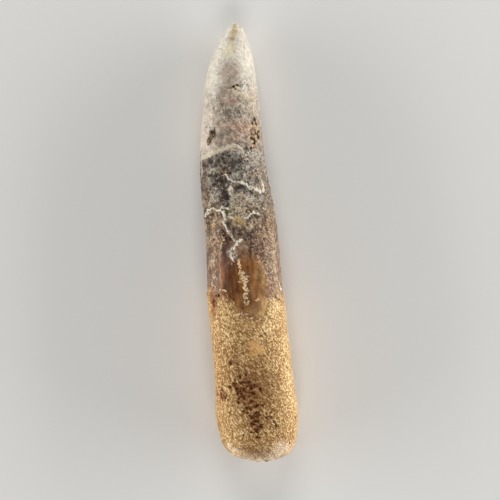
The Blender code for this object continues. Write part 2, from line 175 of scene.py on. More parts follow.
# Blots: across, station, half width, half length, strength.
blots = {
    "tipStain": (
        (-0.2, 0.7, 0.35, 0.7, 0.8), (-0.55, 1.8, 0.38, 1.0, 1.0), (-0.8, 3.0, 0.34, 0.9, 1.0),
        (-1.2, 3.9, 0.4, 0.5, 1.0), (-0.5, 4.8, 0.3, 0.8, 0.5),
    ),
    "mauve": (
        (-1.6, 9.0, 1.6, 2.0, 0.9), (-2.2, 11.8, 1.4, 1.2, 0.8), (-0.6, 4.6, 0.5, 1.0, 0.25),
        (-2.9, 13.0, 1.0, 1.2, 0.7), (-4.8, 14.6, 1.2, 1.6, 0.35),
    ),
    "salmon": (
        (0.3, 18.4, 1.9, 1.4, 1.0), (1.5, 20.2, 1.0, 1.6, 0.8), (-1.6, 17.8, 2.2, 0.9, 0.7),
        (-1.8, 13.8, 1.3, 0.8, 0.7), (-0.4, 20.0, 1.2, 0.7, 0.7), (-2.9, 20.4, 1.6, 0.6, 0.5),
        (1.9, 12.8, 0.7, 2.0, 0.4),
    ),
    "slate": (
        (1.15, 4.6, 0.18, 1.2, 0.5), (-1.9, 15.8, 1.4, 0.7, 0.85), (-1.0, 16.3, 1.0, 0.5, 0.5),
        (-3.8, 19.2, 0.8, 0.8, 0.7), (-2.3, 19.4, 1.2, 0.9, 0.5), (-0.6, 20.8, 0.5, 0.8, 0.9),
        (0.5, 26.2, 1.0, 0.8, 0.5), (-1.1, 28.3, 1.3, 0.9, 0.8),
    ),
    "ash": (
        (-5.35, 29.2, 0.65, 1.1, 1.0), (-0.2, 26.6, 0.8, 0.5, 0.5), (-3.0, 38.8, 0.65, 1.0, 1.0),
        (-5.9, 24.6, 0.7, 0.2, 0.4), (2.0, 23.2, 1.2, 1.3, 0.8), (3.0, 24.6, 0.8, 2.0, 0.5),
        (0.3, 24.8, 0.8, 0.6, 0.35), (0.4, 30.2, 1.0, 1.1, 0.6), (-1.2, 30.4, 1.4, 1.4, 0.5),
        (-0.2, 29.4, 1.2, 0.5, 0.5),
    ),
    "cream": ((-1.7, 5.3, 0.55, 0.7, 1.0), (-1.3, 4.6, 0.35, 0.4, 1.0), (-1.9, 6.1, 0.3, 0.4, 0.8)),
    "straw": (
        (-0.9, 32.8, 0.9, 0.8, 0.8), (-0.8, 29.6, 1.0, 0.8, 0.6), (-3.9, 33.2, 0.5, 0.8, 0.6),
        (-1.9, 31.2, 1.2, 1.6, 0.7), (0.1, 34.4, 0.9, 0.7, 0.6), (-2.4, 32.9, 0.9, 0.5, 0.9),
        (-2.6, 29.3, 0.7, 0.8, 1.0), (-3.0, 32.5, 0.7, 0.5, 0.8), (-0.7, 33.2, 0.6, 0.4, 0.8),
        (2.6, 27.4, 0.4, 0.9, 0.8), (-4.2, 33.9, 0.35, 0.8, 0.6), (-3.2, 35.5, 0.35, 0.8, 0.6),
        (-2.4, 32.4, 0.6, 0.5, 0.6), (-1.0, 11.9, 0.9, 0.5, 0.6), (1.9, 28.0, 0.5, 0.8, 0.7),
        (-1.4, 30.6, 0.8, 0.6, 0.4), (2.1, 14.5, 0.5, 4.5, 0.5), (-2.0, 34.6, 0.6, 0.4, 0.5),
        (0.3, 12.6, 1.0, 0.5, 0.5),
    ),
    "ochre": (
        (-1.95, 33.5, 0.55, 0.35, 1.0), (-1.4, 34.0, 0.5, 0.4, 0.9), (-2.2, 34.2, 0.35, 0.4, 0.8),
        (2.1, 19.4, 0.8, 1.9, 0.8), (-6.0, 33.9, 0.45, 0.8, 0.6), (-0.5, 11.4, 0.8, 0.25, 0.5),
        (1.4, 13.4, 0.9, 1.2, 0.35), (-1.7, 33.1, 0.3, 0.25, 0.9),
    ),
    "rust": (
        (-4.25, 38.2, 0.62, 3.4, 0.8), (-4.1, 36.4, 0.55, 2.4, 1.0), (-6.2, 36.0, 0.8, 2.6, 0.3),
        (-1.4, 36.6, 1.2, 1.2, 0.2), (0.6, 37.0, 0.8, 1.4, 0.3), (-6.5, 27.8, 0.2, 2.0, 0.6),
        (-6.7, 46.9, 0.8, 1.9, 1.0), (2.95, 44.9, 0.25, 1.2, 0.8), (-4.5, 39.5, 0.35, 3.6, 0.7),
        (-6.0, 62.1, 0.6, 0.9, 0.8), (-5.0, 45.4, 0.8, 0.5, 0.6), (1.2, 35.5, 0.4, 1.5, 0.4),
        (3.3, 27.9, 0.25, 0.5, 0.5),
    ),
    "umber": (
        (-4.25, 38.2, 0.55, 3.6, 0.6), (-3.4, 24.8, 0.6, 0.35, 0.8), (-5.9, 25.6, 0.5, 0.3, 0.9),
        (-4.9, 24.4, 0.5, 0.3, 0.8), (-5.6, 27.6, 0.5, 0.3, 0.8), (1.6, 26.9, 0.5, 0.25, 0.6),
        (-0.3, 25.1, 0.5, 0.25, 0.6), (-5.0, 26.8, 0.7, 0.35, 0.8), (-2.8, 25.8, 0.35, 0.3, 1.0),
        (-1.2, 25.4, 0.5, 0.2, 0.8), (-5.25, 25.8, 0.45, 0.4, 1.0), (-4.4, 26.7, 0.45, 0.5, 1.0),
        (-3.6, 26.7, 0.35, 0.4, 0.9), (-4.0, 29.2, 0.6, 1.3, 0.8), (-0.9, 28.0, 0.9, 0.5, 0.8),
        (0.4, 25.5, 0.4, 0.25, 0.8), (-3.4, 31.2, 0.5, 0.4, 0.9), (-5.2, 30.6, 0.5, 0.2, 0.9),
        (-6.9, 31.2, 0.35, 0.3, 0.7), (-4.0, 31.9, 0.35, 0.2, 0.8), (-3.3, 34.1, 0.45, 0.5, 0.7),
        (-4.4, 35.3, 0.6, 0.5, 0.8), (-3.6, 36.4, 0.5, 0.9, 0.6), (-3.8, 41.2, 0.9, 0.8, 0.45),
        (0.8, 36.0, 1.8, 1.2, 0.4), (-0.2, 38.4, 0.35, 2.4, 0.5), (1.9, 39.6, 0.35, 2.4, 0.5),
        (-1.6, 24.2, 1.7, 1.2, 0.55), (-4.4, 23.6, 1.2, 0.9, 0.5), (0.25, 22.3, 0.3, 1.0, 0.8),
        (-5.8, 23.6, 1.0, 0.6, 0.6), (-4.1, 43.6, 1.1, 2.2, 0.5), (-2.5, 48.0, 0.6, 0.9, 0.35),
        (-1.3, 45.0, 0.2, 0.25, 0.8),
    ),
    "deposit": (
        (-1.45, 43.1, 0.72, 0.75, 1.0), (-1.8, 42.2, 0.42, 0.5, 1.0), (-1.15, 44.1, 0.35, 0.4, 0.9),
        (-1.95, 41.2, 0.2, 0.25, 0.8), (-0.95, 43.5, 0.24, 0.3, 0.9), (-1.65, 44.4, 0.26, 0.25, 0.8),
        (-1.1, 45.1, 0.24, 0.22, 0.8), (-1.5, 46.1, 0.26, 0.24, 0.8), (-1.1, 46.9, 0.26, 0.22, 0.8),
        (-1.5, 47.5, 0.24, 0.18, 0.7), (-3.6, 40.7, 0.26, 0.2, 0.8), (-4.6, 35.8, 0.2, 0.35, 0.8),
        (-4.5, 36.6, 0.18, 0.3, 0.8), (-4.7, 37.4, 0.2, 0.35, 0.8), (0.6, 46.8, 0.4, 0.2, 1.0),
        (1.1, 47.3, 0.25, 0.16, 0.8), (-2.9, 48.9, 0.5, 0.25, 1.0), (-1.9, 49.3, 0.42, 0.22, 1.0),
        (-0.9, 49.7, 0.35, 0.2, 0.9), (0.5, 49.5, 0.3, 0.18, 0.8),
    ),
    "nest": ((-5.3, 19.2, 0.6, 0.75, 1.0), (-5.8, 20.0, 0.42, 0.55, 1.0)),
    "gold": (
        (1.7, 43.4, 0.8, 2.6, 1.0), (0.6, 42.0, 0.5, 2.0, 0.6), (1.2, 46.3, 0.7, 1.4, 0.7),
        (-2.6, 47.2, 0.7, 1.8, 0.5), (-3.9, 44.5, 0.3, 0.9, 0.4), (0.4, 40.6, 0.5, 1.2, 0.3),
    ),
    "tan": (
        (1.9, 48.1, 0.9, 1.5, 1.0), (-0.8, 48.6, 0.7, 1.0, 0.5), (-5.3, 41.0, 0.16, 4.5, 0.7),
        (3.9, 45.4, 0.5, 3.0, 0.8), (2.9, 47.4, 0.8, 1.6, 0.6), (1.2, 49.0, 1.2, 0.7, 0.9),
        (-6.8, 43.0, 0.3, 3.0, 0.5), (2.6, 44.6, 0.14, 2.4, 0.6),
    ),
    "greyBrown": ((-0.2, 45.3, 0.8, 1.5, 0.8), (0.4, 48.2, 1.1, 1.4, 0.8), (-0.4, 43.2, 0.6, 1.8, 0.5)),
    "patch": (
        (-0.3, 54.2, 0.9, 0.7, 1.0), (0.2, 55.1, 1.0, 0.6, 1.0), (-0.5, 55.6, 0.9, 0.4, 0.8),
        (0.0, 53.0, 0.8, 0.7, 0.5), (-0.3, 50.8, 2.0, 0.9, 0.4),
    ),
    # partly painted light, the root lighter on its right flank and at its lower left, and partly paler
    # bone
    "light": (
        (1.8, 50.9, 2.2, 1.4, 1.0), (3.6, 48.6, 1.2, 1.8, 1.0), (-0.6, 51.2, 1.4, 0.8, 0.6),
        (4.4, 57.0, 0.8, 8.0, 0.5), (-4.5, 67.5, 1.4, 2.4, 0.8), (-4.4, 50.0, 1.6, 2.0, 0.4),
    ),
    # partly painted shade, the root's middle and end darker, and partly brown staining round the pits
    "shade": (
        (-0.8, 60.8, 3.6, 3.6, 0.9), (-0.4, 67.0, 3.0, 3.0, 0.4), (-2.3, 62.4, 2.2, 2.8, 1.0),
        (-1.2, 66.6, 1.5, 2.4, 0.8), (-3.2, 58.5, 1.8, 1.6, 0.8), (-2.4, 60.2, 1.6, 1.5, 0.8),
        (-3.4, 56.8, 1.3, 1.2, 0.8), (0.8, 65.8, 1.4, 1.2, 0.5), (-1.5, 72.0, 2.4, 0.9, 0.8),
        (0.2, 58.6, 2.2, 1.4, 0.35),
    ),
    "dust": (
        (3.0, 71.8, 2.4, 1.1, 0.8), (-5.9, 71.0, 0.9, 0.8, 0.8), (0.4, 73.6, 2.2, 0.5, 0.7),
        (3.4, 48.2, 1.0, 1.3, 0.3), (-4.8, 72.0, 1.3, 0.6, 0.8), (2.4, 73.0, 2.0, 0.5, 0.8),
    ),
    "crumbs": (
        (-6.3, 26.1, 0.35, 0.35, 1.0), (-4.15, 24.3, 0.3, 0.4, 1.0), (-1.75, 26.1, 0.35, 0.25, 1.0),
        (-0.5, 26.3, 0.4, 0.2, 1.0), (-3.2, 25.2, 0.7, 0.9, 0.8), (-3.9, 23.9, 0.5, 0.6, 0.7),
        (-5.4, 25.6, 1.0, 0.7, 0.7), (-6.2, 29.4, 0.3, 2.4, 0.7), (2.6, 26.0, 0.5, 1.2, 0.7),
        (-6.0, 34.0, 0.9, 3.2, 0.9), (-5.6, 30.6, 0.9, 1.4, 0.6), (-4.9, 37.4, 0.6, 2.4, 0.7),
        (-6.5, 40.0, 0.5, 3.5, 0.6), (3.6, 33.5, 1.0, 3.0, 0.8), (3.9, 39.0, 0.6, 3.6, 0.7),
        (-0.6, 31.0, 2.4, 1.6, 0.7),
    ),
    "flecks": (
        (2.2, 40.0, 1.7, 3.4, 0.8), (-6.3, 38.5, 0.9, 4.5, 0.9), (-3.2, 25.6, 1.2, 1.4, 0.9),
        (0.4, 30.5, 2.6, 1.6, 0.9), (2.2, 26.8, 0.9, 1.8, 1.0), (1.8, 35.6, 2.2, 2.2, 0.8),
        (-4.6, 36.6, 0.4, 1.6, 0.9), (-6.3, 34.2, 0.6, 1.4, 0.8), (-4.8, 28.6, 1.4, 2.2, 0.7),
        (-6.4, 46.0, 0.9, 1.8, 0.9), (0.3, 37.8, 1.6, 1.2, 0.6), (3.7, 40.0, 0.8, 5.0, 1.0),
        (-6.5, 42.0, 0.7, 4.0, 1.0), (-5.4, 25.2, 1.2, 0.8, 0.8),
    ),
}

# Pits: across, station, half width, half length, depth.
pits = (
    (-5.15, 19.0, 0.78, 0.98, 0.26), (-5.75, 19.95, 0.6, 0.8, 0.22), (0.7, 52.7, 0.22, 0.14, 0.16),
    (-1.1, 11.3, 0.32, 0.24, 0.2), (-0.5, 11.1, 0.26, 0.18, 0.2), (0.0, 11.25, 0.24, 0.16, 0.18),
    (0.4, 11.0, 0.18, 0.14, 0.16), (-1.6, 11.5, 0.24, 0.18, 0.18), (-2.1, 11.5, 0.18, 0.14, 0.14),
    (-2.6, 11.8, 0.24, 0.14, 0.14), (-0.8, 11.7, 0.2, 0.16, 0.16), (1.4, 52.4, 0.25, 0.14, 0.16),
    (-4.8, 9.6, 0.18, 0.1, 0.06), (-4.5, 56.9, 0.36, 0.42, 0.3), (-3.2, 59.2, 0.24, 0.36, 0.3),
    (-4.3, 60.3, 0.28, 0.28, 0.26), (-4.9, 60.9, 0.3, 0.26, 0.28), (-2.6, 60.2, 0.32, 0.22, 0.28),
    (-1.9, 60.3, 0.36, 0.24, 0.32), (-1.5, 60.9, 0.22, 0.34, 0.3), (-2.1, 61.0, 0.2, 0.2, 0.22),
    (-0.5, 61.0, 0.16, 0.16, 0.2), (0.0, 61.5, 0.22, 0.36, 0.3), (-3.2, 61.3, 0.26, 0.34, 0.26),
    (-1.2, 62.1, 0.34, 0.3, 0.34), (-3.7, 62.0, 0.22, 0.3, 0.26), (-3.6, 62.8, 0.26, 0.24, 0.28),
    (-2.6, 62.8, 0.24, 0.4, 0.3), (-3.6, 63.5, 0.34, 0.24, 0.32), (-2.7, 63.9, 0.18, 0.24, 0.24),
    (-1.6, 63.4, 0.3, 0.3, 0.32), (-1.85, 64.6, 0.2, 0.4, 0.32), (-2.9, 65.0, 0.26, 0.18, 0.26),
    (-1.3, 65.4, 0.24, 0.18, 0.26), (-0.6, 65.6, 0.24, 0.26, 0.28), (-2.0, 65.9, 0.24, 0.22, 0.26),
    (-0.9, 66.7, 0.28, 0.28, 0.3), (-1.0, 68.15, 0.32, 0.24, 0.3), (-2.05, 68.6, 0.26, 0.2, 0.26),
    (-3.2, 69.0, 0.14, 0.36, 0.24), (0.55, 66.3, 0.22, 0.24, 0.22), (1.4, 65.5, 0.16, 0.2, 0.2),
    (1.4, 66.3, 0.18, 0.22, 0.22), (2.1, 67.4, 0.16, 0.18, 0.18), (5.1, 64.5, 0.16, 0.18, 0.18),
    (-1.9, 67.6, 0.16, 0.24, 0.18), (-3.0, 62.2, 0.18, 0.2, 0.22), (-2.3, 61.8, 0.2, 0.18, 0.2),
    (-0.2, 64.9, 0.14, 0.18, 0.16), (-6.5, 62.0, 0.16, 0.3, 0.16), (-6.3, 62.7, 0.2, 0.18, 0.18),
    (-5.7, 62.4, 0.14, 0.16, 0.14), (-6.6, 46.5, 0.24, 0.22, 0.18), (-6.65, 47.4, 0.26, 0.22, 0.18),
    (-7.0, 48.1, 0.2, 0.24, 0.16), (1.3, 18.7, 0.2, 0.22, 0.16), (1.35, 19.4, 0.24, 0.22, 0.18),
    (1.6, 20.2, 0.26, 0.32, 0.2), (2.3, 17.8, 0.28, 0.22, 0.16), (2.4, 19.0, 0.2, 0.26, 0.16),
    (2.1, 20.6, 0.2, 0.2, 0.16), (1.5, 21.0, 0.28, 0.2, 0.16), (2.6, 20.0, 0.2, 0.26, 0.16),
    (1.9, 21.5, 0.22, 0.18, 0.16), (-0.9, 3.3, 0.2, 0.16, 0.1), (-0.8, 4.0, 0.18, 0.16, 0.08),
    (-0.7, 1.9, 0.18, 0.16, 0.08), (-1.0, 4.5, 0.14, 0.12, 0.08), (-0.3, 2.6, 0.12, 0.14, 0.06),
    (2.45, 25.6, 0.2, 0.1, 0.1), (1.95, 28.5, 0.18, 0.16, 0.12), (2.45, 28.5, 0.12, 0.1, 0.1),
    (-2.7, 25.8, 0.2, 0.16, 0.12), (-1.35, 46.9, 0.2, 0.3, 0.14), (-6.65, 39.0, 0.14, 0.18, 0.1),
    (-3.3, 56.9, 0.16, 0.2, 0.14), (-3.4, 58.0, 0.12, 0.16, 0.12), (-7.2, 59.0, 0.2, 0.24, 0.16),
    (3.2, 61.0, 0.12, 0.14, 0.1),
)

# Small pores: those on the unseen side, and clusters on top. A cluster is a middle across and
# along, a spread across and along, and a count.
pores = {
    "count": 150, "stations": (48.0, 71.5), "turns": (0.75, 2 * math.pi - 1.25),
    "radii": (0.10, 0.24), "stretches": (0.7, 1.5), "depth": 0.16, "seed": 7,
    "clusterRadii": (0.12, 0.32), "clusterStretches": (0.8, 1.5), "clusterDepth": 0.32,
    "clusters": (
        (-2.5, 61.4, 0.85, 1.1, 17), (-1.1, 66.4, 0.50, 1.4, 13), (-6.1, 62.3, 0.40, 0.6, 10),
        (-4.1, 60.4, 0.50, 0.6, 6), (2.0, 19.6, 0.50, 1.3, 24), (-6.6, 46.8, 0.35, 1.0, 10),
        (-1.8, 64.4, 0.90, 1.2, 8), (1.2, 66.2, 0.80, 1.4, 8),
    ),
}


def smoothStep(value, low, high):
    share = np.clip((value - low) / (high - low), 0.0, 1.0)
    return share * share * (3 - 2 * share)


def cloudAt(places, size, seed=0.0):
    # soft noise from -1 to 1 at each place, with lumps about as large as size; a seed moves it on
    shifted = np.asarray(places) / size + seed * 3.71
    return np.array([noise.noise(p) for p in shifted.tolist()])


def outlineAt(station):
    rows = np.array(tooth["outline"])
    after = np.minimum(np.arange(len(rows)) + 1, len(rows) - 1)
    before = np.maximum(np.arange(len(rows)) - 1, 0)
    slopes = (rows[after] - rows[before]) / (rows[after, :1] - rows[before, :1])
    station = np.clip(station, rows[0, 0], rows[-1, 0])
    row = np.clip(np.searchsorted(rows[:, 0], station, side="right") - 1, 0, len(rows) - 2)
    span = rows[row + 1, 0] - rows[row, 0]
    u = ((station - rows[row, 0]) / span)[:, None]
    span = span[:, None]
    values = (2 * u**3 - 3 * u**2 + 1) * rows[row] + (u**3 - 2 * u**2 + u) * span * slopes[row]
    values += (3 * u**2 - 2 * u**3) * rows[row + 1] + (u**3 - u**2) * span * slopes[row + 1]
    return values[:, 1:].T


def roundingAt(station, endRounding):
    nose = np.clip(1 - station / tooth["tipNose"], 0.0, 1.0)
    along = np.clip((station - tooth["length"] + endRounding) / endRounding, 0.0, 1.0)
    power = tooth["endSquareness"]
    return np.sqrt(1 - nose**2) * (1 - along**power) ** (1 / power)


def sectionAt(station):
    # middle x, half width, middle z, half height and squareness
    left, right, under, top = outlineAt(station)
    across = roundingAt(station, tooth["endAcross"])
    up = roundingAt(station, tooth["endUp"])
    middle = (left + right) / 2
    middle += np.where(station > tooth["length"] / 2, (1 - across) * (tooth["endPeakX"] - middle), 0)
    change = smoothStep(station, *tooth["sectionChange"])
    power = tooth["crownSection"] + (tooth["rootSection"] - tooth["crownSection"]) * change
    return middle, across * (right - left) / 2, (under + top) / 2, up * (top - under) / 2, power


def turnOf(across, station):
    # how far round from the top a mark lies, in radians, from its place seen from above
    middle, halfWidth, _, _, power = sectionAt(np.array([float(station)]))
    share = float(np.clip((across + tipLine - middle[0]) / halfWidth[0], -1.0, 1.0))
    return math.copysign(math.asin(abs(share) ** (power[0] / 2)), share)


def ringStations(count, samples=4000):
    station = tooth["length"] * (1 - np.cos(np.pi * np.arange(samples + 1) / samples)) / 2
    steps = np.hypot(np.diff(station), np.diff(sectionAt(station)[1]))
    along = np.concatenate([[0.0], np.cumsum(steps)])
    return np.interp(np.linspace(0.0, along[-1], count + 1), along, station)


def edgeAt(turn):
    # station of the crust's edge, from the line over the top and a guess below
    known = [(turnOf(a, s), s) for a, s in crustLine]
    known += [(math.radians(t), s) for t, s in crustUnder]
    known.sort()
    return np.interp(turn, [k[0] for k in known], [k[1] for k in known])


def surfaceAt(station, turn):
    middle, halfWidth, height, halfHeight, power = sectionAt(station)
    c, s = np.sin(turn), np.cos(turn)
    x = middle + halfWidth * np.sign(c) * np.abs(c) ** (2 / power)
    z = height + halfHeight * np.sign(s) * np.abs(s) ** (2 / power)
    peak = tooth["endPeakX"]
    slope = np.where(x < peak, tooth["endSlants"][0], tooth["endSlants"][1])
    length = tooth["length"]
    slant = slope * np.abs(x - peak) * smoothStep(station, length - tooth["endReach"], length)
    return np.stack([x, length / 2 - station + slant, z], axis=1)


def nearestOnLine(side, station, points):
    # distance in millimetres from every place to a line of (side, station) points
    best = np.full(len(side), 1e9)
    for (a0, s0), (a1, s1) in zip(points, points[1:]):
        da, ds = a1 - a0, s1 - s0
        share = np.clip(((side - a0) * da + (station - s0) * ds) / (da * da + ds * ds + 1e-9), 0, 1)
        best = np.minimum(best, np.hypot(side - a0 - share * da, station - s0 - share * ds))
    return best


def sideOf(across, station):
    half = sectionAt(np.array([float(station)]))[1][0]
    return half * turnOf(across, station)


def drawLine(side, station, halfWidth, points):
    path = [(sideOf(a, s), s) for a, s in points]
    return 1 - smoothStep(nearestOnLine(side, station, path) / halfWidth, *drawing["lineFade"])


def drawBlot(side, station, across, middle, halfWidth, halfLength, strength):
    away = np.hypot((side - sideOf(across, middle)) / halfWidth, (station - middle) / halfLength)
    return strength * np.exp(-drawing["blotFade"] * away**2)


def drawMarks(side, station, wobble):
    # every kind of mark as a strength from 0 to 1 at each place
    marks = {}
    small, fine = drawing["lineBend"]
    crooked = small * wobble["small"] + fine * wobble["fine"]
    crookedAlong = small * wobble["smallAlong"] + fine * wobble["fineAlong"]
    for kind, drawn in lines.items():
        bend = drawing["calm"] if kind in drawing["calmKinds"] else 1.0
        near = (side + bend * crooked, station + bend * crookedAlong)
        marks[kind] = np.max([drawLine(*near, *line) for line in drawn], axis=0)
    bend = drawing["blotBend"]
    near = (side + bend * wobble["middle"], station + bend * wobble["middleAlong"])
    for kind, drawn in blots.items():
        found = np.max([drawBlot(*near, *blot) for blot in drawn], axis=0)
        marks[kind] = np.maximum(found, marks.get(kind, 0.0))
    return marks


def scatterPores():
    picked = np.random.default_rng(pores["seed"])
    low, high = pores["stations"]
    found = []
    for _ in range(pores["count"]):
        turn = picked.uniform(*pores["turns"])
        radius = picked.uniform(*pores["radii"])
        stretch = picked.uniform(*pores["stretches"])
        turn = (turn + math.pi) % (2 * math.pi) - math.pi
        found.append((turn, picked.uniform(low, high), radius, radius * stretch, pores["depth"]))
    for across, station, wide, long, count in pores["clusters"]:
        for _ in range(count):
            at = picked.normal(station, long)
            radius = picked.uniform(*pores["clusterRadii"])
            stretch = picked.uniform(*pores["clusterStretches"])
            turn = turnOf(picked.normal(across, wide), at)
            found.append((turn, at, radius, radius * stretch, pores["clusterDepth"]))
    return found


def sinkPits(station, half, turn, wobble):
    # how deep the pits and pores are at each place, and how dark
    depth = np.zeros(len(station))
    dark = np.zeros(len(station))
    small, fine = drawing["pitBend"]
    uneven = small * wobble["small"] + fine * wobble["fine"]
    unevenAlong = small * wobble["smallAlong"] + fine * wobble["fineAlong"]
    placed = [(turnOf(p[0], p[1]), *p[1:]) for p in pits] + scatterPores()
    for at, middle, halfWidth, halfLength, deep in placed:
        around = (turn - at + math.pi) % (2 * math.pi) - math.pi
        away = np.hypot((around * half + uneven) / halfWidth,
                        (station - middle + unevenAlong) / halfLength)
        depth = np.maximum(depth, deep * np.clip(1 - away**2, 0.0, 1.0))
        strength = min(1.0, deep / drawing["pitFullyDark"])
        dark = np.maximum(dark, strength * np.exp(-drawing["pitFade"] * away**2))
    return depth, dark


# The broad zones of the crown, by station: where each starts or ends, softly. The dark zone's
# edge runs over the top, then on round the unseen side by turns in radians.
zones = {
    "ivoryEnd": (6.8, 13.5),
    "lilacStart": (10.0, 18.5),
    "lilacEnd": (20.5, 23.0),
    "plumEnd": (28.5, 32.0),
    "brownStart": (29.5, 33.0),
    "windowStart": (36.5, 42.0),
    "windowSides": ((-0.82, -0.66), (0.28, 0.75)),
    "plumEdge": ((-7.4, 23.2), (-6.0, 22.8), (-4.5, 22.3), (-3.0, 21.8), (-1.7, 21.6), (-0.8, 21.9),
                 (-0.2, 22.7), (0.6, 23.5), (1.6, 24.2), (2.6, 25.4), (3.3, 27.5)),
    "plumUnder": ((-math.pi, 22.6), (-2.4, 23.8), (2.4, 24.5), (math.pi, 22.6)),
    # how crusty and how finely folded the surface is
    "crusty": ((0, 0.10), (6, 0.12), (11, 0.25), (14, 0.45), (21, 0.45), (23, 0.9), (31, 1.0),
               (35, 0.7), (38, 0.4), (41, 0.3), (46, 0.2), (50, 0.3)),
    "folded": ((0, 0.15), (7, 0.3), (12, 0.6), (21, 0.6), (23.5, 0.3), (34, 0.3), (38, 0.1),
               (50, 0.05)),
}


def zoneMarks(marks, station, turn, wobble):
    # broad bands of colour that go all the way round, each with a wavy edge
    across = np.sin(turn)
    above = np.cos(turn)
    wavy = station + 0.9 * wobble["broad"] + 0.35 * wobble["middle"]
    flank = np.abs(across - 0.08)
    marks["ivory"] = 1 - smoothStep(wavy - 8.0 * flank**1.2, *zones["ivoryEnd"])
    left = smoothStep(-across, 0.35, 0.75)
    marks["lilac"] = left * smoothStep(wavy, *zones["lilacStart"])
    marks["lilac"] *= 1 - smoothStep(wavy, *zones["lilacEnd"])
    edge = [(turnOf(a, s), s) for a, s in zones["plumEdge"]] + list(zones["plumUnder"])
    plumEdge = np.interp(turn, *zip(*sorted(edge)))
    marks["plum"] = smoothStep(wavy - plumEdge, -0.1, 0.5) * (1 - smoothStep(wavy, *zones["plumEnd"]))
    marks["plum"] *= 1 - 0.6 * smoothStep(across, 0.55, 0.9)
    marks["brown"] = smoothStep(wavy + 1.5 * (across < 0) * flank, *zones["brownStart"])
    window = smoothStep(wavy, *zones["windowStart"])
    shifted = across + 0.06 * wobble["middle"]
    leftSide, rightSide = zones["windowSides"]
    between = smoothStep(shifted, *leftSide) * (1 - smoothStep(shifted, *rightSide))
    below = smoothStep(-above, 0.1, 0.5) * smoothStep(across + 0.4 * wobble["broad"], -0.7, -0.3)
    marks["amber"] = window * np.maximum(between * (above > 0), below)
    marks["busy"] = np.interp(wavy, *zip(*zones["crusty"])) * (1 - 0.8 * marks["amber"])
    marks["busy"] *= 1 - 0.7 * marks["lilac"]
    marks["fold"] = np.interp(wavy, *zip(*zones["folded"])) * smoothStep(across, -0.7, 0.1)
    marks["across"] = across


def linked(name, data):
    made = bpy.data.objects.new(name, data)
    bpy.context.scene.collection.objects.link(made)
    return made


def faceOrder(face):
    # a number that no other face of the ball has, so that faces come in one order on every run
    first, second, *_, last = sorted(vert.index for vert in face.verts)
    apart = 1e6
    return first * apart + last + second / apart


def makeTooth():
    bm = bmesh.new()
    bmesh.ops.create_uvsphere(bm, u_segments=tooth["segments"], v_segments=tooth["rings"], radius=1.0)
    ball = np.array([v.co for v in bm.verts])
    ring = np.rint(tooth["rings"] * np.arccos(np.clip(-ball[:, 2], -1, 1)) / np.pi).astype(int)
    turn = np.arctan2(ball[:, 0], ball[:, 1])
    station = ringStations(tooth["rings"])[ring]
    half = sectionAt(station)[1]
    side = half * turn
    places = surfaceAt(station, turn)
    print("tooth drawn out,", len(places), "points")

    wobble = {}
    for seed, (name, size) in enumerate(wobbleSizes.items(), start=1):
        wobble[name] = cloudAt(places, size, seed)
    small, fine = wobble["small"], wobble["fine"]
    marks = drawMarks(side, station, wobble)
    # the side that nobody sees gets the same kinds of marks, mirrored and moved along
    around = (math.pi - np.abs(turn)) * -np.sign(turn)
    moved = station + tooth["unseenMoved"] + tooth["unseenWaver"] * wobble["broad"]
    unseen = drawMarks(half * around, moved, wobble)
    below = smoothStep(-np.cos(turn), -0.05, 0.25)
    for kind in marks:
        marks[kind] = np.maximum(marks[kind] * (1 - below), unseen[kind] * below)
    zoneMarks(marks, station, turn, wobble)
    depth, marks["pit"] = sinkPits(station, half, turn, wobble)
    smallShare, fineShare = tooth["crustGrains"]
    marks["crust"] = station - edgeAt(turn) + smallShare * small + fineShare * fine
    onRoot = smoothStep(marks["crust"], 0.0, tooth["crustLedge"])
    toEnd = 1 - smoothStep(station, tooth["length"] - tooth["endReach"], tooth["length"] - 1)
    marks["end"] = smoothStep(station, tooth["breakStart"], tooth["length"] - 0.4)

    raised = tooth["crustProud"] * onRoot * toEnd
    raised += tooth["lumpHeight"] * cloudAt(places, tooth["lumpSize"]) * smoothStep(station, 0.0, 10.0)
    fineShare, smallShare = tooth["boneGrains"]
    raised += onRoot * (fineShare * fine + smallShare * small) * smoothStep(marks["crust"], 0.2, 1.0)
    middleShare, smallShare, fineShare = tooth["lumpGrains"]
    marks["lump"] = middleShare * wobble["middle"] + smallShare * wobble["smallAlong"] + fineShare * fine
    raised += (1 - onRoot) * marks["busy"] * tooth["crustRelief"] * marks["lump"]
    veined = marks["vein"] * (tooth["lineHeight"] + tooth["lineGrain"] * small)
    raised += veined + marks["deposit"] * (tooth["lineHeight"] + tooth["lineGrain"] * fine)
    raised -= tooth["crackDepth"] * marks["crack"]
    raised -= depth
    outward = np.stack([np.sin(turn), np.zeros(len(turn)), np.cos(turn)], axis=1)
    smallShare, fineShare = tooth["breakGrains"]
    rough = tooth["breakHeight"] * cloudAt(places, tooth["breakSize"])
    rough = rough + smallShare * small + fineShare * fine
    rough *= smoothStep(station, tooth["breakStart"], tooth["length"])
    places = places + outward * raised[:, None]
    places[:, 1] += rough
    for x, at, z, radius in tooth["chips"]:
        away = places - np.array([x, tooth["length"] / 2 - at, z])
        far = np.maximum(np.linalg.norm(away, axis=1), 1e-6)
        push = np.where(far < radius, radius / far - 1, 0.0) * (1 + 0.08 * fine)
        places += away * push[:, None]
        marks["end"] = np.maximum(marks["end"], (far < radius + 0.1) * 0.8)
    places[:, 2] = np.maximum(0.0, places[:, 2] - tooth["worn"])

    for vert, place in zip(bm.verts, (places * mm).tolist()):
        vert.co = place
    bm.verts.index_update()
    bm.faces.sort(key=faceOrder)
    bmesh.ops.recalc_face_normals(bm, faces=bm.faces)
    mesh = bpy.data.meshes.new("fossilTooth")
    bm.to_mesh(mesh)
    bm.free()
    mesh.shade_smooth()
    for kind, strength in marks.items():
        layer = mesh.attributes.new(kind, "FLOAT", "POINT")
        layer.data.foreach_set("value", np.asarray(strength, dtype=np.float32))
    print("tooth shaped, with", len(marks), "kinds of marks")
    return linked("fossilTooth", mesh)


